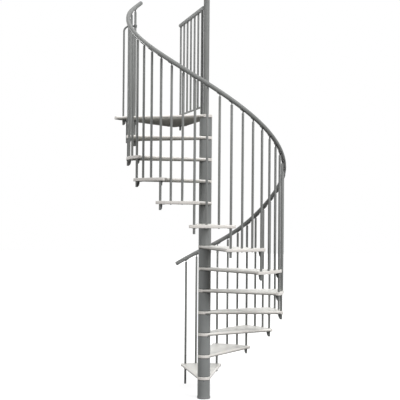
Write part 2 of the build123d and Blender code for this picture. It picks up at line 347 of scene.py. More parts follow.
@dataclass(frozen=True)
class GlazedBoard:
    """Plywood board under a white glaze, with its layers showing round the edge."""

    name: str = "glazed_plywood"
    glaze: tuple = (0.82, 0.81, 0.775)
    band: tuple = (0.78, 0.765, 0.72)
    pore: tuple = (0.66, 0.63, 0.57)
    edge_light: tuple = (0.64, 0.62, 0.595)
    edge_dark: tuple = (0.45, 0.425, 0.40)
    roughness: float = 0.38
    specular: float = 0.4
    edge_to_face: tuple = (0.45, 0.8)
    relief: tuple = (0.0002, 0.4)

    def build(self, groups: NodeGroups) -> bpy.types.Material:
        """Build the material.

        Args:
            groups: Shared node groups.

        Returns:
            The material.
        """
        plain = {"Roughness": self.roughness, "Specular IOR Level": self.specular}
        material, wires, shader = start_material(self.name, plain)
        feeds = {
            "Vector": wires.node("UVMap", uv_map="grain").outputs[0],
            "Glaze Colour": (*self.glaze, 1),
            "Band Colour": (*self.band, 1),
            "Pore Colour": (*self.pore, 1),
        }
        face = wires.group(groups.wood_face, feeds)
        feeds = {
            "Edge Vector": wires.node("UVMap", uv_map="layers").outputs[0],
            "Light Colour": (*self.edge_light, 1),
            "Dark Colour": (*self.edge_dark, 1),
        }
        edge = wires.group(groups.ply_edge, feeds)
        normal = wires.node("NewGeometry").outputs["Normal"]
        rise = wires.node("SeparateXYZ", {0: normal}).outputs["Z"]
        mask = wires.spread(wires.math("ABSOLUTE", rise), *self.edge_to_face)
        heights = {0: mask, 2: edge["Height"], 3: face["Height"]}
        height = wires.node("Mix", heights, data_type="FLOAT").outputs[0]
        wires.feed(shader["Base Color"], wires.blend(mask, edge["Color"], face["Color"]))
        wires.bump(height, shader, *self.relief)
        return material


@dataclass(frozen=True)
class PlainFinish:
    """Small plain part such as a plated screw, a moulded cap, or the near-black ring at a spacer's
    end, which is a dark seam plus painted shadow under a board's collar.
    """

    name: str
    light: tuple
    dark: tuple
    roughness: float
    metallic: float = 0.0
    cloud_scale: float = 180.0
    relief: tuple = (0.0001, 0.3)

    def build(self, groups: NodeGroups) -> bpy.types.Material:
        """Build the material.

        Args:
            groups: Shared node groups.

        Returns:
            The material.
        """
        plain = {"Roughness": self.roughness, "Metallic": self.metallic}
        material, wires, shader = start_material(self.name, plain)
        place = wires.node("TexCoord").outputs["Object"]
        mottle = mottled(wires, groups, place, (self.light, self.dark), self.cloud_scale)
        wires.feed(shader["Base Color"], mottle["Color"])
        wires.bump(mottle["Mask"], shader, *self.relief)
        return material


class Finish(Enum):
    """The finishes of the stair, each with the values that make it."""

    COLUMN = PowderCoat("column_grey", (0.180, 0.186, 0.184), (0.162, 0.168, 0.166))
    ROD = PowderCoat("rod_grey", (0.180, 0.184, 0.180), (0.162, 0.166, 0.162))
    BRACKET = PowderCoat("bracket_grey", (0.110, 0.113, 0.111), (0.096, 0.099, 0.097))
    BOARD = GlazedBoard()
    # Darker, matt copy of the board finish for faces that point downwards: painted shade on the
    # undersides and the lower half of the nosings.
    BOARD_SHADE_BELOW = GlazedBoard(
        "board_painted_shade", (0.40, 0.395, 0.375), (0.38, 0.372, 0.35), (0.32, 0.31, 0.285),
        (0.36, 0.352, 0.33), (0.31, 0.30, 0.28), 0.85, 0.0,
    )
    SCREW = PlainFinish("plated_screw", (0.30, 0.30, 0.30), (0.22, 0.22, 0.22), 0.38, 1.0)
    DARK_SCREW = PlainFinish("dark_screw", (0.02, 0.02, 0.02), (0.012, 0.012, 0.012), 0.45)
    # Near-black ring at each spacer end: a dark seam plus painted shadow under each board's
    # collar.
    DARK_SEAM_SHADOW = PlainFinish("seam_and_painted_shadow", (0.03, 0.03, 0.03), (0.02, 0.02, 0.02), 0.7)
    END_CAP = PlainFinish("moulded_cap", (0.165, 0.169, 0.166), (0.148, 0.151, 0.149), 0.5)

    @property
    def slot(self) -> str:
        """Material slot of the record for a piece whose main finish this is."""
        return self.name.lower()


@dataclass
class Palette:
    """Builds each finish once and hands it out."""

    groups: NodeGroups
    made: dict = field(default_factory=dict)

    def get(self, finish: Finish) -> bpy.types.Material:
        """Return the material of a finish, built at its first use.

        Args:
            finish: The wanted finish.

        Returns:
            Its material.
        """
        if finish not in self.made:
            self.made[finish] = finish.value.build(self.groups)
        return self.made[finish]


# Shaping


def verts_of(items: list) -> list:
    """Pick the vertices out of what an operator returns."""
    return [item for item in items if isinstance(item, bmesh.types.BMVert)]


def upright(place: Vector, angle: float = 0.0) -> Matrix:
    """Return the matrix that turns a form about the vertical and moves it to a place."""
    return Matrix.Translation(place) @ Matrix.Rotation(math.radians(angle), 4, "Z")


def pointing(place: Vector, direction: Vector) -> Matrix:
    """Return the matrix that turns a form's z axis to a direction and moves it to a place."""
    return Matrix.Translation(place) @ direction.to_track_quat("Z", "Y").to_matrix().to_4x4()


def facing(place: Vector, *axes: Vector) -> Matrix:
    """Return the matrix that lays a form's three axes along others and moves it to a place."""
    return Matrix.Translation(place) @ Matrix(axes).transposed().to_4x4()


def add_object(name: str, data: bpy.types.ID) -> bpy.types.Object:
    """Make an object from its data and put it in the scene.

    Args:
        name: Name of the object.
        data: Its mesh, camera or light.

    Returns:
        The object.
    """
    thing = bpy.data.objects.new(name, data)
    bpy.context.scene.collection.objects.link(thing)
    return thing


class Form:
    """A mesh under construction, in metres, shaped with bmesh operators."""

    def __init__(self) -> None:
        """Start an empty mesh."""
        self.mesh = bmesh.new()

    def data(self, name: str) -> bpy.types.Mesh:
        """Return the form as mesh data."""
        data = bpy.data.meshes.new(name)
        self.mesh.to_mesh(data)
        return data

    def join(
        self, other: "Form", place: Matrix = Matrix.Identity(4), finish: int | None = None
    ) -> None:
        """Add a copy of another form.

        Args:
            other: Form to copy.
            place: Where the copy goes.
            finish: Number of the finish that the copy takes, or None to keep its own.
        """
        copy = other.data("copy")
        copy.transform(place)
        if finish is not None:
            for face in copy.polygons:
                face.material_index = finish
        self.mesh.from_mesh(copy)
        bpy.data.meshes.remove(copy)

    def move(self, place: Matrix) -> None:
        """Move the whole form by a matrix."""
        bmesh.ops.transform(self.mesh, matrix=place, verts=self.mesh.verts)

    def spin(self, items: list, angle: float, steps: int, merge: bool = False) -> None:
        """Spin some of the form about the upright axis.

        Args:
            items: Vertices and edges to spin.
            angle: Angle of the turn in radians.
            steps: Number of steps in it.
            merge: Whether a full turn is joined up.
        """
        bmesh.ops.spin(
            self.mesh, geom=items, cent=(0, 0, 0), axis=UP, angle=angle, steps=steps,
            use_merge=merge,
        )

    def thicken(self, shift: tuple) -> None:
        """Extrude the flat form by a shift."""
        grown = bmesh.ops.extrude_face_region(self.mesh, geom=list(self.mesh.faces))["geom"]
        bmesh.ops.translate(self.mesh, vec=shift, verts=verts_of(grown))

    def bevel(self, edges: list, offset: float, segments: int = 2) -> None:
        """Round edges.

        Args:
            edges: Edges to round.
            offset: Width of the rounding in metres.
            segments: Number of steps across it.
        """
        bmesh.ops.bevel(
            self.mesh,
            geom=edges,
            offset=offset,
            offset_type="OFFSET",
            segments=segments,
            profile=0.5,
            affect="EDGES",
            material=-1,
        )

    def corners(self, least: float = CORNER) -> list:
        """List the edges whose two faces meet at more than an angle.

        Args:
            least: The angle in degrees.

        Returns:
            The edges.
        """
        return [
            edge
            for edge in self.mesh.edges
            if len(edge.link_faces) == 2 and edge.calc_face_angle(0.0) > math.radians(least)
        ]

    def outward(self) -> None:
        """Merge doubles and turn every face outwards."""
        bmesh.ops.remove_doubles(self.mesh, verts=self.mesh.verts, dist=SAME_PLACE)
        bmesh.ops.recalc_face_normals(self.mesh, faces=self.mesh.faces)


def cone_form(length: float, lower: float, upper: float, segments: int) -> Form:
    """Shape an upright cone or cylinder that stands on the origin.

    Args:
        length: Its height.
        lower: Radius of its foot.
        upper: Radius of its top.
        segments: Number of sides.

    Returns:
        The form.
    """
    form = Form()
    bmesh.ops.create_cone(
        form.mesh,
        cap_ends=True,
        segments=segments,
        radius1=lower,
        radius2=upper,
        depth=length,
        matrix=Matrix.Translation((0, 0, length / 2)),
    )
    return form


def rod_form(length: float, radius: float, segments: int = 28, rounding: float = 0.0012) -> Form:
    """Shape an upright round bar that stands on the origin.

    Args:
        length: Length of the bar.
        radius: Radius of the bar.
        segments: Number of sides.
        rounding: Rounding of its two ends.

    Returns:
        The form.
    """
    form = cone_form(length, radius, radius, segments)
    form.bevel(form.corners(), rounding)
    return form


def lathe_form(profile: list, segments: int = 64) -> Form:
    """Spin a profile round the upright axis.

    Args:
        profile: Points of radius and height; first and last may be equal for a ring.
        segments: Number of steps round the axis.

    Returns:
        The form.
    """
    form = Form()
    closed = profile[0] == profile[-1]
    points = profile[:-1] if closed else profile
    verts = [form.mesh.verts.new((radius, 0, height)) for radius, height in points]
    edges = [form.mesh.edges.new(pair) for pair in zip(verts, verts[1:])]
    if closed:
        edges.append(form.mesh.edges.new((verts[-1], verts[0])))
    form.spin(verts + edges, math.tau, segments, True)
    form.outward()
    return form


def tube_form(
    outer: float, inner: float, bottom: float, top: float, ease: float, segments: int = 64
) -> Form:
    """Spin a tube with eased outer rims.

    Args:
        outer: Outer radius.
        inner: Inner radius.
        bottom: Height of its lower end.
        top: Height of its upper end.
        ease: Easing of the outer rims.
        segments: Number of steps round the axis.

    Returns:
        The form.
    """
    profile = [
        (inner, bottom), (outer - ease, bottom), (outer, bottom + ease),
        (outer, top - ease), (outer - ease, top), (inner, top), (inner, bottom),
    ]
    return lathe_form(profile, segments)


def box_form(size: tuple, centre: tuple, rounding: float = 0.0006) -> Form:
    """Shape a box with rounded edges.

    Args:
        size: Length of each side.
        centre: Middle of the box.
        rounding: Rounding of all its edges.

    Returns:
        The form.
    """
    form = Form()
    place = Matrix.Translation(centre) @ Matrix.Diagonal((*size, 1))
    bmesh.ops.create_cube(form.mesh, size=1, matrix=place)
    form.bevel(list(form.mesh.edges), rounding)
    return form


def sweep_form(stations: list, radius: float, segments: int, rounding: float) -> Form:
    """Sweep a circle through stations by extruding ring after ring.

    Args:
        stations: Matrices whose z axis runs along the path.
        radius: Radius of the tube.
        segments: Number of sides.
        rounding: Rounding of the two closed ends.

    Returns:
        The form.
    """
    form = Form()
    made = bmesh.ops.create_circle(form.mesh, cap_ends=False, radius=radius, segments=segments)
    bmesh.ops.transform(form.mesh, matrix=stations[0], verts=made["verts"])
    ring = list({edge for vert in made["verts"] for edge in vert.link_edges})
    first_ring = ring
    for before, after in zip(stations, stations[1:]):
        grown = bmesh.ops.extrude_edge_only(form.mesh, edges=ring)["geom"]
        ring = [item for item in grown if isinstance(item, bmesh.types.BMEdge)]
        step = after @ before.inverted()
        bmesh.ops.transform(form.mesh, matrix=step, verts=verts_of(grown))
    for rim in (first_ring, ring):
        bmesh.ops.contextual_create(form.mesh, geom=rim)
    form.outward()
    form.bevel(form.corners(), rounding)
    return form


@dataclass(frozen=True)
class Screw:
    """Button-head screw with a socket sunk into its top."""

    radius: float
    height: float
    socket: float = 0.45
    taper: float = 0.72
    sides: int = 12

    def form(self) -> Form:
        """Shape the screw's head, its socket half as deep as the head is high.

        Returns:
            The form, standing on the origin.
        """
        top_radius = self.radius * self.taper
        form = cone_form(self.height, self.radius, top_radius, self.sides)
        top = max(form.mesh.faces, key=lambda face: face.calc_center_median().z)
        inner = top_radius * (1 - self.socket)
        bmesh.ops.inset_individual(form.mesh, faces=[top], thickness=inner)
        bmesh.ops.translate(form.mesh, vec=(0, 0, -self.height * 0.5), verts=top.verts)
        return form


# The stair's plan, which every sub-assembly reads


@dataclass(frozen=True)
class Plan:
    """Sizes and places that all the sub-assemblies share, in metres and degrees."""

    riser: float = 0.220
    treads: int = 12
    pitch: float = 25.3
    start: float = 105.0
    board: float = 0.030
    rod_circle: float = 0.782
    rail_circle: float = 0.792
    rail_radius: float = 0.0212
    rail_height: float = 1.380
    rail_first: float = -0.31
    rail_last: float = 12.4
    foot_ease: float = 0.058
    foot_ease_middle: float = 1.45
    foot_ease_reach: float = 2.05
    top_ease: float = 0.033
    top_ease_start: float = 11.2
    stem: float = 0.020
    stub: float = 0.086
    long_rod: float = 0.012
    short_rod: float = 0.0115

    @property
    def landing(self) -> float:
        """Angle of the last long baluster."""
        return self.start - self.treads * self.pitch

    @property
    def landing_level(self) -> float:
        """Height of the top of the landing."""
        return self.riser * (self.treads + 1)

    def angle(self, turn: float) -> float:
        """Return the angle of a place a number of treads up the stair."""
        return self.start - turn * self.pitch

    def polar(self, radius: float, angle: float, height: float = 0.0) -> Vector:
        """Return the point at a radius, an angle in degrees and a height."""
        turn = math.radians(angle)
        return Vector((radius * math.cos(turn), radius * math.sin(turn), height))

    def rail_level(self, turn: float) -> float:
        """Work out the height of the handrail's centre, which dips at both ends.

        Args:
            turn: Place along the handrail, in treads up the stair.

        Returns:
            The height.
        """
        along = min(abs(turn - self.foot_ease_middle) / self.foot_ease_reach, 1)
        low = self.foot_ease * (1 + math.cos(math.pi * along)) / 2
        along = max(turn - self.top_ease_start, 0) / (self.rail_last - self.top_ease_start)
        high = self.top_ease * (1 - math.cos(math.pi * along)) / 2
        return self.rail_height + self.riser * turn - low - high

    def rail_station(self, turn: float) -> Matrix:
        """Work out the frame across the handrail, x away from the column and z uphill.

        Args:
            turn: Place along the handrail, in treads up the stair.

        Returns:
            The frame.
        """
        step = 0.01
        ends = [
            self.polar(self.rail_circle, self.angle(at), self.rail_level(at))
            for at in (turn - step, turn + step)
        ]
        along = (ends[1] - ends[0]).normalized()
        across = along.cross(self.polar(1, self.angle(turn))).normalized()
        centre = self.polar(self.rail_circle, self.angle(turn), self.rail_level(turn))
        return facing(centre, across.cross(along), across, along)

    def rod_top(self, turn: float) -> float:
        """Return the height where a baluster ends below its saddle."""
        return self.rail_level(turn) - self.rail_radius - self.stem

    def rod_place(self, turn: float, height: float) -> Matrix:
        """Return the matrix that stands a form at a baluster's place, facing outwards."""
        return upright(self.polar(self.rod_circle, self.angle(turn), height), self.angle(turn))

    def rod_turns(self, long: bool) -> list:
        """List the places of the long or of the short balusters, in treads."""
        if long:
            return list(range(self.treads + 1))
        return [tread + third / 3 for tread in range(self.treads) for third in (1, 2)]


# Sub-assemblies


@dataclass
class Assembly:
    """A part of the stair, shaped from the plan and finished from the palette."""

    plan: Plan
    palette: Palette

    def finish(self, name: str, form: Form, node: str, *finishes: Finish) -> None:
        """Turn a form into a finished object that rides on the stair.

        Args:
            name: Name of the object.
            form: Its shape.
            node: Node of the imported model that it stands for.
            *finishes: Its finishes, the main one first, in the order of the face numbers.
        """
        data = form.data(name)
        form.mesh.free()
        data.shade_smooth()
        data.set_sharp_from_angle(angle=math.radians(SMOOTH))
        flat = [face for face in data.polygons if abs(face.normal.z) > LEVEL]
        borders = {key for face in flat for key in face.edge_keys}
        for edge in data.edges:
            if edge.key in borders:
                edge.use_edge_sharp = True
        for finish in finishes:
            data.materials.append(self.palette.get(finish))
        piece = add_object(name, data)
        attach(piece, BODY)
        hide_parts(node)
        log.info("%s: %d faces", name, len(data.polygons))

    def dress(self, node: str, finish: Finish) -> None:
        """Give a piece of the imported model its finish.

        Args:
            node: The piece's node.
            finish: Its finish.
        """
        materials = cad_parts[node].data.materials
        materials.clear()
        materials.append(self.palette.get(finish))
        log.info("%s: dressed", node)


@dataclass
class Column(Assembly):
    """Foot, pole, newel cap and the spacer tubes between the boards."""

    pole_radius: float = 0.03015
    pole_wall: float = 0.0032
    pole_foot: float = 0.012
    pole_ease: float = 0.0006
    spacer_radius: float = 0.0635
    spacer_wall: float = 0.003
    spacer_ease: float = 0.0008
    groove: float = 0.0045
    groove_depth: float = 0.0022
    seam_ring_ease: float = 0.0002
    ring_radius: float = 0.0668
    ring_height: float = 0.022
    ring_ease: float = 0.0015
    fit: float = 0.0003
    lid_brim: float = 0.0025
    lid_slope: float = 0.0015
    lid_flat_from_rim: float = 0.006
    set_screw: Screw = Screw(0.0045, 0.0012, 0.6)
    screw_sink: float = 0.0004
    screw_drop: float = 0.013
    first_screw_angle: float = -90.0
    screw_angle: float = -57.0

    def build_spacers(self) -> None:
        """Build the spacer tubes with a near-black ring at each end, a dark seam plus painted
        shadow under the boards' collars, and a set screw.
        """
        plan = self.plan
        form = Form()
        screw = self.set_screw.form()
        outer, inner = self.spacer_radius, self.spacer_radius - self.spacer_wall
        for level in range(plan.treads + 1):
            bottom = plan.riser * level if level else self.pole_foot
            top = plan.riser * (level + 1) - plan.board
            ends = (bottom + self.groove, top - self.groove)
            form.join(tube_form(outer, inner, *ends, self.spacer_ease), finish=0)
            # Near-black rings at both ends: a dark seam plus painted shadow below the collars.
            for low in (bottom, top - self.groove):
                ends = (low, low + self.groove)
                washer = tube_form(outer - self.groove_depth, inner, *ends, self.seam_ring_ease)
                form.join(washer, finish=1)
            out = plan.polar(1, self.screw_angle if level else self.first_screw_angle)
            seat = out * (outer - self.screw_sink) + Vector((0, 0, top - self.screw_drop))
            form.join(screw, pointing(seat, out), 2)
        finishes = (Finish.COLUMN, Finish.DARK_SEAM_SHADOW, Finish.DARK_SCREW)
        self.finish("column_tubes", form, "column_spacers", *finishes)

    def build_pole(self) -> None:
        """Build the pole, its cap and the foot ring."""
        low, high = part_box("centre_pole")
        outer, inner = self.pole_radius, self.pole_radius - self.pole_wall
        pole = tube_form(outer, inner, low.z, high.z, self.pole_ease)
        self.finish("newel_pole", pole, "centre_pole", Finish.ROD)
        seat = high.z
        low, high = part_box("newel_cap")
        profile = [
            (0, low.z), (inner - self.fit, low.z), (inner - self.fit, seat), (outer, seat),
            (outer, seat + self.lid_brim), (outer - self.lid_slope, high.z - self.lid_slope),
            (outer - self.lid_flat_from_rim, high.z), (0, high.z),
        ]
        self.finish("newel_lid", lathe_form(profile), "newel_cap", Finish.END_CAP)
        inner = self.spacer_radius + self.fit
        ring = tube_form(self.ring_radius, inner, 0, self.ring_height, self.ring_ease)
        self.finish("foot_sleeve", ring, "foot_ring", Finish.COLUMN)
        self.dress("foot_plate", Finish.COLUMN)

    def build(self) -> None:
        """Build the whole column."""
        self.build_spacers()
        self.build_pole()


@dataclass
class Boards(Assembly):
    """The wedge treads and the landing board."""

    hub: float = 0.0655
    rim: float = 0.800
    lap: float = 3.25
    corner: float = 0.014
    hub_steps: int = 72
    corner_steps: int = 40
    rim_steps: int = 24
    straight: float = 0.5
    rounding: float = 0.0016
    nosing: float = 0.0135
    nosing_steps: int = 5
    hub_margin: float = 0.008
    rim_margin: float = 0.022
    near: float = 1e-5
    near_side: float = 2e-4
    near_stop: float = 1e-4
    # Faces whose normal points further down than this take the painted shade finish.
    shade_below_normal: float = -0.10
    grain_skew: float = 0.37
    layers_out: float = 0.2
    layers_round: float = 0.8
    tread_shift: float = 1.7
    landing_shift: float = 31.0
    landing_turned: float = -25
    landing_corners: tuple = ((0.961, 4.75), (1.1406, -52.95), (0.9614, -57.7))

    def hull(self, circles: list, arc: tuple | None = None) -> Form:
        """Shape a flat board whose outline wraps round circles.

        Args:
            circles: Centre and radius of each circle.
            arc: Radius and half angle of a rim arc, or None.

        Returns:
            The form, from the origin's level up by the board's thickness.
        """
        form = Form()
        mesh = form.mesh
        for centre, radius in circles:
            steps = self.hub_steps if radius == self.hub else self.corner_steps
            place = Matrix.Translation((centre.x, centre.y, 0))
            bmesh.ops.create_circle(mesh, radius=radius, segments=steps, matrix=place)
        if arc:
            reach, half = arc
            vert = mesh.verts.new(self.plan.polar(reach, -half))
            form.spin([vert], math.radians(2 * half), self.rim_steps)
        copy = bmesh.ops.duplicate(mesh, geom=[*mesh.verts, *mesh.edges])["geom"]
        bmesh.ops.translate(mesh, vec=(0, 0, self.plan.board), verts=verts_of(copy))
        bmesh.ops.delete(mesh, geom=list(mesh.edges), context="EDGES_FACES")
        made = bmesh.ops.convex_hull(mesh, input=list(mesh.verts))
        spare = {*verts_of(made["geom_interior"]), *verts_of(made["geom_unused"])}
        bmesh.ops.delete(mesh, geom=list(spare), context="VERTS")
        angle = math.radians(self.straight)
        bmesh.ops.dissolve_limit(
            mesh, angle_limit=angle, verts=list(mesh.verts), edges=list(mesh.edges)
        )
        form.outward()
        return form

    def round_sides(self, form: Form, sides: list) -> None:
        """Round the board's straight sides between two stops, then ease its other edges.

        Args:
            form: Board with square edges.
            sides: Angle of each side's corner, which side it is (1 or -1), how far the side
                leans from the corner's line in degrees, and the reach of the corner's centre.
        """
        mesh = form.mesh
        rounded = []
        for corner_angle, side, lean, reach in sides:
            along = self.plan.polar(1, corner_angle - side * lean)
            outward = self.plan.polar(1, corner_angle - side * lean + side * 90)
            stop = math.sqrt(reach**2 - (self.hub - self.corner) ** 2) - self.rim_margin
            for place in (self.hub_margin, stop):
                bmesh.ops.bisect_plane(
                    mesh, geom=[*mesh.verts, *mesh.edges, *mesh.faces],
                    plane_co=along * place, plane_no=along, dist=SAME_PLACE,
                )
            rounded.append((along, outward, stop))
        first, near = self.hub_margin - self.near_stop, self.near_stop
        chosen = []
        for edge in mesh.edges:
            ends = [vert.co for vert in edge.verts]
            level = abs(ends[0].z - ends[1].z) < self.near
            for along, outward, stop in rounded:
                on_side = all(abs(end.dot(outward) - self.hub) < self.near_side for end in ends)
                places = [end.dot(along) for end in ends]
                if level and on_side and min(places) > first and max(places) < stop + near:
                    chosen.append(edge)
        form.bevel(chosen, self.nosing, self.nosing_steps)
        faces = (0, self.plan.board)
        eased = [
            edge
            for edge in form.corners()
            if all(min(abs(vert.co.z - face) for face in faces) < self.near for vert in edge.verts)
        ]
        form.bevel(eased, self.rounding)

    def map_grain(self, form: Form, shift: float) -> None:
        """Give the faces that point downwards the painted shade finish, and map the grain along
        the board and the layers round it.

        Args:
            form: Board, lying along the x axis.
            shift: Offset that makes one board's grain differ from the next.
        """
        form.mesh.normal_update()
        grain = form.mesh.loops.layers.uv.new("grain")
        layers = form.mesh.loops.layers.uv.new("layers")
        for face in form.mesh.faces:
            # Faces pointing down take the darker copy, which is painted shade.
            face.material_index = int(face.normal.z < self.shade_below_normal)
            for loop in face.loops:
                x, y, z = loop.vert.co
                out, turn = math.hypot(x, y), math.atan2(y, x)
                loop[grain].uv = (x + shift, y + shift * self.grain_skew)
                loop[layers].uv = (z, out * self.layers_out + turn * self.layers_round + shift)

    def build_board(
        self, names: tuple, form: Form, sides: list, shift: float, top: float, angle: float
    ) -> None:
        """Round, map, place and finish one board.

        Args:
            names: Name of the piece and of the node that it stands for.
            form: Board with square edges, lying along the x axis.
            sides: Its straight sides, as round_sides takes them.
            shift: Offset of its grain.
            top: Height of its top.
            angle: Angle at which it lies.
        """
        self.round_sides(form, sides)
        self.map_grain(form, shift)
        form.move(upright(Vector((0, 0, top - self.plan.board)), angle))
        self.finish(names[0], form, names[1], Finish.BOARD, Finish.BOARD_SHADE_BELOW)

    def build_treads(self) -> None:
        """Build each tread at its level and angle."""
        plan = self.plan
        half = plan.pitch / 2 + self.lap
        side = self.rim / math.cos(math.radians(half))
        lean = math.degrees(math.asin(self.hub / side))
        normal = half - lean + 90
        reach = self.rim - self.corner
        turned = normal - math.degrees(math.acos((self.hub - self.corner) / reach))
        corners = [(plan.polar(reach, way * turned), self.corner) for way in (1, -1)]
        sides = [(way * half, way, lean, reach) for way in (1, -1)]
        for number in range(1, plan.treads + 1):
            form = self.hull([(Vector(), self.hub), *corners], (self.rim, turned))
            shift, top = number * self.tread_shift, number * plan.riser
            names = (f"board_{number:02d}", f"tread_{number:02d}")
            self.build_board(names, form, sides, shift, top, plan.angle(number - 0.5))

    def build_landing(self) -> None:
        """Build the landing board."""
        landing = self.plan.landing
        middle = landing + self.landing_turned
        corners = [
            (self.plan.polar(reach, landing + turned - middle), self.corner)
            for reach, turned in self.landing_corners
        ]
        form = self.hull([(Vector(), self.hub), *corners])
        sides = []
        for way, (reach, turned) in ((1, self.landing_corners[0]), (-1, self.landing_corners[2])):
            lean = math.degrees(math.asin((self.hub - self.corner) / reach))
            sides.append((landing + turned - middle, way, lean, reach))
        shift, top = self.landing_shift, self.plan.landing_level
        names = ("board_landing", "platform_board")
        self.build_board(names, form, sides, shift, top, middle)

    def build(self) -> None:
        """Build all the boards."""
        self.build_treads()
        self.build_landing()


@dataclass
class Railing(Assembly):
    """Handrail, its saddles and the balusters that carry it."""

    stations_per_tread: int = 12
    rail_sides: int = 40
    rail_rounding: float = 0.0008
    saddle_length: float = 0.042
    saddle_gap: float = 0.0005
    saddle_wall: float = 0.004
    saddle_sweep: float = 96.0
    saddle_steps: int = 8
    saddle_rounding: float = 0.0007
    saddle_screw: Screw = Screw(0.0032, 0.0016)
    screw_places: tuple = (-0.4, 0.38)
    screw_aside: float = 0.006
    screw_sink: float = 0.0006
    screw_lean: tuple = (0.25, -1, 0)
    stem_width: float = 0.010
    stem_thickness: float = 0.007
    stem_overlap: float = 0.006
    cap_length: float = 0.004
    cap_taper: float = 0.0016
    cap_corner: float = 30.0
    cap_rounding: float = 0.0006
    washer_size: tuple = (0.0014, 0.0110, 20, 0.0004)
    under_screw: Screw = Screw(0.0075, 0.0042)

    def build_handrail(self) -> None:
        """Build the handrail tube with its two end plugs."""
        plan = self.plan
        span = plan.rail_last - plan.rail_first
        steps = round(span * self.stations_per_tread)
        stations = [
            plan.rail_station(plan.rail_first + span * step / steps) for step in range(steps + 1)
        ]
        tube = sweep_form(stations, plan.rail_radius, self.rail_sides, self.rail_rounding)
        self.finish("handrail_tube", tube, "handrail", Finish.ROD)
        plugs = Form()
        radius = plan.rail_radius
        lid = cone_form(self.cap_length, radius, radius - self.cap_taper, self.rail_sides)
        lid.bevel(lid.corners(self.cap_corner), self.cap_rounding)
        plugs.join(lid, stations[-1])
        plugs.join(lid, stations[0] @ Matrix.Rotation(math.pi, 4, "X"))
        self.finish("handrail_plugs", plugs, "handrail_end_caps", Finish.END_CAP)

    def saddle(self) -> Form:
        """Shape one saddle strip, cupped round the z axis below it, with its two screws.

        Returns:
            The form, with x away from the column and z along the handrail.
        """
        inner = self.plan.rail_radius + self.saddle_gap
        outer = inner + self.saddle_wall
        half = math.radians(self.saddle_sweep / 2)
        form = Form()
        verts = [form.mesh.verts.new((0, -reach, 0)) for reach in (inner, outer)]
        edge = form.mesh.edges.new(verts)
        turn = Matrix.Rotation(-half, 3, "Z")
        bmesh.ops.rotate(form.mesh, verts=verts, cent=(0, 0, 0), matrix=turn)
        form.spin([*verts, edge], 2 * half, self.saddle_steps)
        form.thicken((0, 0, self.saddle_length))
        form.move(Matrix.Translation((0, 0, -self.saddle_length / 2)))
        form.outward()
        form.bevel(form.corners(), self.saddle_rounding, 1)
        head = self.saddle_screw.form()
        for along in self.screw_places:
            reach = -outer + self.screw_sink
            spot = Vector((self.screw_aside, reach, along * self.saddle_length))
            form.join(head, pointing(spot, Vector(self.screw_lean)), 1)
        return form

    def build_saddles(self) -> None:
        """Build a saddle and its stem on every baluster."""
        plan = self.plan
        form = Form()
        strip = self.saddle()
        rise = plan.stem + self.stem_overlap
        stem = box_form((self.stem_width, self.stem_thickness, rise), (0, 0, rise / 2))
        for turn in sorted([*plan.rod_turns(True), *plan.rod_turns(False)]):
            form.join(strip, plan.rail_station(turn))
            form.join(stem, plan.rod_place(turn, plan.rod_top(turn)), 0)
        self.finish("saddles", form, "rail_saddles", Finish.BRACKET, Finish.SCREW)

    def build_long(self) -> None:
        """Build the long balusters that tie the boards together."""
        plan = self.plan
        for turn in plan.rod_turns(True):
            bottom = turn * plan.riser - plan.stub if turn else 0.0
            form = rod_form(plan.rod_top(turn) - bottom, plan.long_rod)
            form.move(upright(plan.polar(plan.rod_circle, plan.angle(turn), bottom)))
            label = f"{turn + 1:02d}"
            self.finish(f"long_bar_{label}", form, f"long_baluster_{label}", Finish.ROD)

    def hanging_screw(self) -> Form:
        """Shape a washer and a screw that hang below the origin.

        Returns:
            The form.
        """
        form = Form()
        below = Matrix.Translation((0, 0, -self.washer_size[0]))
        form.join(rod_form(*self.washer_size), below)
        form.join(self.under_screw.form(), below @ Matrix.Rotation(math.pi, 4, "X"))
        return form

    def build_short(self) -> None:
        """Build the short balusters with the screw that holds each from under its tread."""
        plan = self.plan
        turns = plan.rod_turns(False)
        half = len(turns) // 2
        screw = self.hanging_screw()
        for name, group in (("lower", turns[:half]), ("upper", turns[half:])):
            form = Form()
            for turn in group:
                foot = (int(turn) + 1) * plan.riser
                bar = rod_form(plan.rod_top(turn) - foot, plan.short_rod)
                form.join(bar, upright(plan.polar(plan.rod_circle, plan.angle(turn), foot)))
                under = plan.polar(plan.rod_circle, plan.angle(turn), foot - plan.board)
                form.join(screw, upright(under), 1)
            node = f"short_balusters_{name}"
            self.finish(f"short_bars_{name}", form, node, Finish.ROD, Finish.SCREW)

    def build(self) -> None:
        """Build the whole railing."""
        self.build_handrail()
        self.build_saddles()
        self.build_long()
        self.build_short()


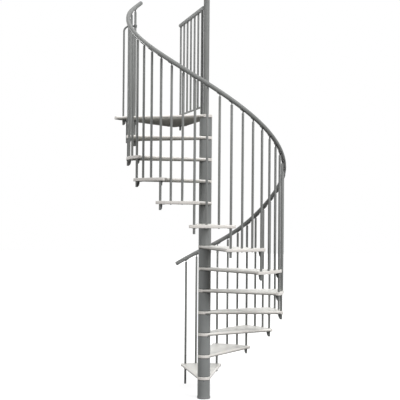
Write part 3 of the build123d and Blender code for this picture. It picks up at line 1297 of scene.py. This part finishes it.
@dataclass
class Landing(Assembly):
    """Guard, hoop and brackets of the landing."""

    guard_turned: float = -55.4
    guard_beside: float = 0.035
    guard_inner: float = 0.040
    guard_outer: float = 0.904
    guard_gaps: int = 6
    guard_rail_height: float = 1.080
    guard_overhang: float = 0.034
    sides: int = 40
    end_rounding: float = 0.012
    end_steps: int = 6
    foot_rail_height: float = 0.082
    foot_rail_radius: float = 0.010
    bar_radius: float = 0.0105
    bar_overlap: float = 0.001
    post_radius: float = 0.011
    inner_post_radius: float = 0.013
    hoop_turned: float = 1.6
    hoop_reach: float = 0.899
    hoop_radius: float = 0.010
    hoop_bend: float = 0.055
    hoop_steps: int = 12
    hoop_sides: int = 28
    hoop_rounding: float = 0.001
    hoop_below_rod_top: float = 0.150
    clamp_wall: float = 0.005
    clamp_height: float = 0.026
    clamp_ease: float = 0.0012
    clamp_gap: float = 0.0002
    clamp_fit: float = 0.0003
    clamp_screw: Screw = Screw(0.004, 0.002)
    screw_sink: float = 0.0006

    @property
    def guard_angle(self) -> float:
        """Angle of the guard's upright plane."""
        return self.plan.landing + self.guard_turned

    def guard_point(self, reach: float, height: float) -> Vector:
        """Return a point in the guard's plane, its height above the landing."""
        beside = self.plan.polar(self.guard_beside, self.guard_angle + 90)
        return beside + self.plan.polar(reach, self.guard_angle, self.plan.landing_level + height)

    def build_guard(self) -> None:
        """Build the guard's rails, bars and posts."""
        direction = self.plan.polar(1, self.guard_angle)
        inner, outer, radius = self.guard_inner, self.guard_outer, self.plan.rail_radius
        length = outer + self.guard_overhang
        ease = self.end_rounding
        profile = [(0, 0), (radius, 0), (radius, length - ease)]
        for step in range(1, self.end_steps + 1):
            turn = math.radians(step * 90 / self.end_steps)
            across, along = ease * (1 - math.cos(turn)), ease * (1 - math.sin(turn))
            profile.append((radius - across, length - along))
        rail = lathe_form([*profile, (0, length)], self.sides)
        rail.move(pointing(self.guard_point(0, self.guard_rail_height), direction))
        self.finish("guard_handrail", rail, "guard_rail", Finish.ROD)
        top = self.guard_rail_height - radius
        for name, node, reach, bottom, thick in (
            ("guard_outer_bar", "guard_end_post", outer, -self.plan.stub, self.post_radius),
            ("guard_inner_bar", "guard_inner_post", inner, 0.0, self.inner_post_radius),
        ):
            bar = rod_form(top - bottom, thick)
            bar.move(upright(self.guard_point(reach, bottom)))
            self.finish(name, bar, node, Finish.ROD)
        start = inner + self.inner_post_radius
        foot = rod_form(outer - self.post_radius - start, self.foot_rail_radius)
        foot.move(pointing(self.guard_point(start, self.foot_rail_height), direction))
        self.finish("guard_low_rail", foot, "guard_foot_rail", Finish.ROD)
        bars = Form()
        bottom = self.foot_rail_height + self.foot_rail_radius - self.bar_overlap
        gap = (outer - inner) / self.guard_gaps
        for count in range(1, self.guard_gaps):
            place = self.guard_point(inner + gap * count, bottom)
            bars.join(rod_form(top - bottom, self.bar_radius), upright(place))
        self.finish("guard_fill_bars", bars, "guard_bars", Finish.ROD)

    def build_hoop(self) -> None:
        """Build the hoop at the landing's front corner and its clamp."""
        plan = self.plan
        foot = plan.polar(self.hoop_reach, plan.landing + self.hoop_turned)
        last = plan.polar(plan.rod_circle, plan.landing)
        across = (last - foot).normalized()
        side = UP.cross(across)
        level = plan.rod_top(plan.treads) - self.hoop_below_rod_top
        clamp = plan.long_rod + self.clamp_fit + self.clamp_wall
        bend = self.hoop_bend
        high = foot + UP * (level - bend)
        path = [(foot + UP * (plan.landing_level - plan.stub), 0.0), (high, 0.0)]
        for step in range(1, self.hoop_steps + 1):
            turn = math.radians(step * 90 / self.hoop_steps)
            shift = across * (bend * (1 - math.cos(turn))) + UP * (bend * math.sin(turn))
            path.append((high + shift, turn))
        run = (last - foot).length - clamp
        path.append((foot + across * run + UP * level, math.pi / 2))
        stations = []
        for place, turn in path:
            along = UP * math.cos(turn) + across * math.sin(turn)
            stations.append(facing(place, side, -along.cross(side), along))
        hoop = sweep_form(stations, self.hoop_radius, self.hoop_sides, self.hoop_rounding)
        self.finish("corner_hoop", hoop, "hoop", Finish.ROD)
        half, inner = self.clamp_height / 2, plan.long_rod + self.clamp_gap
        ring = tube_form(clamp, inner, -half, half, self.clamp_ease, self.sides)
        collar = Form()
        centre = last + UP * level
        collar.join(ring, upright(centre))
        spot = centre - side * (clamp - self.screw_sink)
        collar.join(self.clamp_screw.form(), pointing(spot, -side), 1)
        self.finish("hoop_collar", collar, "hoop_clamp", Finish.BRACKET, Finish.SCREW)

    def build(self) -> None:
        """Build everything that stands on or hangs from the landing."""
        self.build_guard()
        self.build_hoop()
        for node in ("slab_bracket_front", "slab_bracket_rear"):
            self.dress(node, Finish.BRACKET)


@dataclass
class RimBrackets(Assembly):
    """Brackets that brace the long balusters under the boards."""

    landing: Landing
    width: float = 0.042
    plate: float = 0.003
    reach: float = 0.019
    inner: float = 0.052
    fit: float = 0.0003
    web: float = 0.008
    web_rounding: float = 0.0007
    overlap: float = 0.001
    straight: float = 0.006
    bow: float = 0.070
    bow_steps: int = 7
    end_gap: float = 0.002
    plate_screw: Screw = Screw(0.0036, 0.002)
    plate_screws: tuple = ((0.008, 0.008), (0.033, -0.008), (0.033, 0.008))
    plate_sink: float = 0.0003
    web_screw: Screw = Screw(0.0048, 0.003)
    web_screw_out: float = 0.009
    web_screw_up: float = 0.016
    web_sink: float = 0.0004

    def bracket(self, seat: float) -> Form:
        """Shape one bracket, with x towards the column and z down.

        Args:
            seat: Distance from the rod's axis to the web.

        Returns:
            The form.
        """
        form = Form()
        size = (self.inner - seat, self.width, self.plate)
        form.join(box_form(size, ((seat + self.inner) / 2, 0, self.plate / 2)))
        drop = self.plan.stub - self.plan.board - self.end_gap
        far = seat + self.reach
        outline = [(seat, drop), (seat, self.overlap), (far, self.overlap), (far, self.straight)]
        chord = Vector((seat - far, drop - self.straight))
        middle = Vector(((seat + far) / 2, (drop + self.straight) / 2))
        away = Vector((chord.y, -chord.x)).normalized()
        rise = self.bow - math.sqrt(self.bow**2 - (chord.length / 2) ** 2)
        centre = middle - away * (self.bow - rise)
        first = Vector((far, self.straight)) - centre
        sweep = 2 * math.asin(chord.length / 2 / self.bow)
        for step in range(1, self.bow_steps):
            turn = Matrix.Rotation(sweep * step / self.bow_steps, 2)
            outline.append(tuple(centre + turn @ first))
        web = Form()
        verts = [web.mesh.verts.new((x, -self.web / 2, z)) for x, z in outline]
        bmesh.ops.contextual_create(web.mesh, geom=verts)
        web.thicken((0, self.web, 0))
        web.outward()
        web.bevel(web.corners(), self.web_rounding, 1)
        form.join(web)
        head = self.plate_screw.form()
        for x, y in self.plate_screws:
            form.join(head, Matrix.Translation((seat + x, y, self.plate - self.plate_sink)), 1)
        head = self.web_screw.form()
        for way in (-1, 1):
            aside = way * (self.web / 2 - self.web_sink)
            spot = Vector((seat + self.web_screw_out, aside, drop - self.web_screw_up))
            form.join(head, pointing(spot, Vector((0, way, 0))), 1)
        return form

    def build(self) -> None:
        """Build a bracket at every place where a rod passes a board."""
        plan, landing, under = self.plan, self.landing, self.plan.board
        circle, rod = plan.rod_circle, plan.long_rod
        places = [
            (plan.polar(circle, plan.angle(turn), level * plan.riser - under), rod)
            for turn in range(plan.treads + 1)
            for level in (turn, turn + 1)
            if level > 0
        ]
        places.append((landing.guard_point(landing.guard_outer, -under), landing.post_radius))
        hoop_angle, level = plan.landing + landing.hoop_turned, plan.landing_level - under
        places.append((plan.polar(landing.hoop_reach, hoop_angle, level), landing.hoop_radius))
        form = Form()
        down = -UP
        for place, rod in places:
            inward = Vector((-place.x, -place.y, 0)).normalized()
            axes = (inward, down.cross(inward), down)
            form.join(self.bracket(rod + self.fit), facing(place, *axes))
        self.finish("rod_brackets", form, "rim_brackets", Finish.BRACKET, Finish.SCREW)


# Studio


@dataclass(frozen=True)
class Studio:
    """Pale floor, white surround, soft lamps and the camera of the photograph."""

    camera_place: tuple = (0.0, -9.192, 1.910)
    yaw: float = -0.0057
    pitch: float = 0.0096
    roll: float = -0.0081
    focal_pixels: float = 909.2
    frame_pixels: float = 400.0
    sensor: float = 36.0
    farthest: float = 100.0
    ambient: float = 0.42
    floor_size: float = 30.0
    floor_drop: float = 0.0005
    floor_seen: tuple = (0.22, 0.22, 0.22)
    floor_bounce: tuple = (0.095, 0.095, 0.092)
    floor_fade: tuple = (1.2, 3.0)
    floor_lift: float = 0.84
    lamp_height: float = 6.0
    lamps: tuple = (
        ("key_lamp", (0.72, -0.58, 0.50), 3.5, 30),
        ("fill_lamp", (-0.75, -0.62, 0.34), 1.6, 50),
        ("top_lamp", (0.10, 0.05, 1.0), 1.25, 50),
    )
    side_place: tuple = (-3.6, 2.2, 3.5)
    side_target: tuple = (-0.90, -0.15, 3.9)
    side_cone: float = 26.0
    side_blend: float = 0.9
    side_radius: float = 0.9
    side_power: float = 900.0

    def build_camera(self) -> None:
        """Set up the camera of the photograph."""
        level = math.cos(self.pitch)
        ahead = Vector(
            (math.sin(self.yaw) * level, math.cos(self.yaw) * level, math.sin(self.pitch))
        )
        right = Vector((math.cos(self.yaw), -math.sin(self.yaw), 0))
        up = right.cross(ahead)
        turned_right = right * math.cos(self.roll) - up * math.sin(self.roll)
        turned_up = right * math.sin(self.roll) + up * math.cos(self.roll)
        data = bpy.data.cameras.new("photo_camera")
        data.sensor_width = self.sensor
        data.lens = self.focal_pixels * self.sensor / self.frame_pixels
        data.clip_end = self.farthest
        camera = add_object("photo_camera", data)
        camera.matrix_world = facing(Vector(self.camera_place), turned_right, turned_up, -ahead)
        bpy.context.scene.camera = camera

    def build_world(self) -> None:
        """Set up the surround: white where it is seen, softer where it lights."""
        world = bpy.data.worlds.new("studio")
        bpy.context.scene.world = world
        world.use_nodes = True
        wires = Wires(world.node_tree)
        path = wires.node("LightPath").outputs
        seen = wires.math("MAXIMUM", path["Is Camera Ray"], path["Is Glossy Ray"])
        seen = wires.math("MAXIMUM", seen, path["Is Transmission Ray"])
        background = world.node_tree.nodes["Background"].inputs
        wires.feed(background["Color"], WHITE)
        wires.feed(background["Strength"], wires.spread(seen, 0.0, 1.0, self.ambient))

    def build_floor(self) -> None:
        """Set up the floor, which is seen white apart from the shadow near the stair."""
        form = Form()
        bmesh.ops.create_grid(form.mesh, x_segments=1, y_segments=1, size=self.floor_size)
        form.move(Matrix.Translation((0, 0, -self.floor_drop)))
        floor = add_object("floor", form.data("floor"))
        material = bpy.data.materials.new("pale_floor")
        material.use_nodes = True
        material.node_tree.nodes.clear()
        wires = Wires(material.node_tree)
        path = wires.node("LightPath").outputs
        seen = wires.math("MAXIMUM", path["Is Camera Ray"], path["Is Glossy Ray"])
        colour = wires.blend(seen, (*self.floor_bounce, 1), (*self.floor_seen, 1))
        matt = wires.node("BsdfDiffuse", {"Color": colour}).outputs[0]
        place = wires.node("TexCoord").outputs["Object"]
        distance = wires.node("VectorMath", {0: place}, operation="LENGTH").outputs["Value"]
        fade = wires.spread(distance, *self.floor_fade, self.floor_lift)
        feeds = {"Color": WHITE, "Strength": wires.math("MULTIPLY", fade, seen)}
        glow = wires.node("Emission", feeds).outputs[0]
        both = wires.node("AddShader", {0: matt, 1: glow}).outputs[0]
        wires.node("OutputMaterial", {"Surface": both})
        floor.data.materials.append(material)

    def build_lamps(self) -> None:
        """Set up the broad soft lamps, far off, and the soft spot on the landing's railing."""
        for name, toward, strength, spread in self.lamps:
            data = bpy.data.lights.new(name, "SUN")
            data.energy = strength
            data.angle = math.radians(spread)
            place = Vector((0, 0, self.lamp_height))
            add_object(name, data).matrix_world = pointing(place, Vector(toward))
        data = bpy.data.lights.new("side_lamp", "SPOT")
        data.spot_size = math.radians(self.side_cone)
        data.spot_blend = self.side_blend
        data.shadow_soft_size = self.side_radius
        data.energy = self.side_power
        place = Vector(self.side_place)
        lamp = add_object("side_lamp", data)
        lamp.matrix_world = pointing(place, place - Vector(self.side_target))

    def build(self) -> None:
        """Set up the whole studio."""
        bpy.context.scene.view_settings.view_transform = "Standard"
        self.build_camera()
        self.build_world()
        self.build_floor()
        self.build_lamps()


def main() -> None:
    """Build every sub-assembly in order, then the studio."""
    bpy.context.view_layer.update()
    shared = (Plan(), Palette(NodeGroups.build()))
    landing = Landing(*shared)
    below = (Column(*shared), Boards(*shared), Railing(*shared))
    for assembly in (*below, landing, RimBrackets(*shared, landing)):
        assembly.build()
        log.info("%s done", type(assembly).__name__)
    Studio().build()


if __name__ == "__main__":
    main()
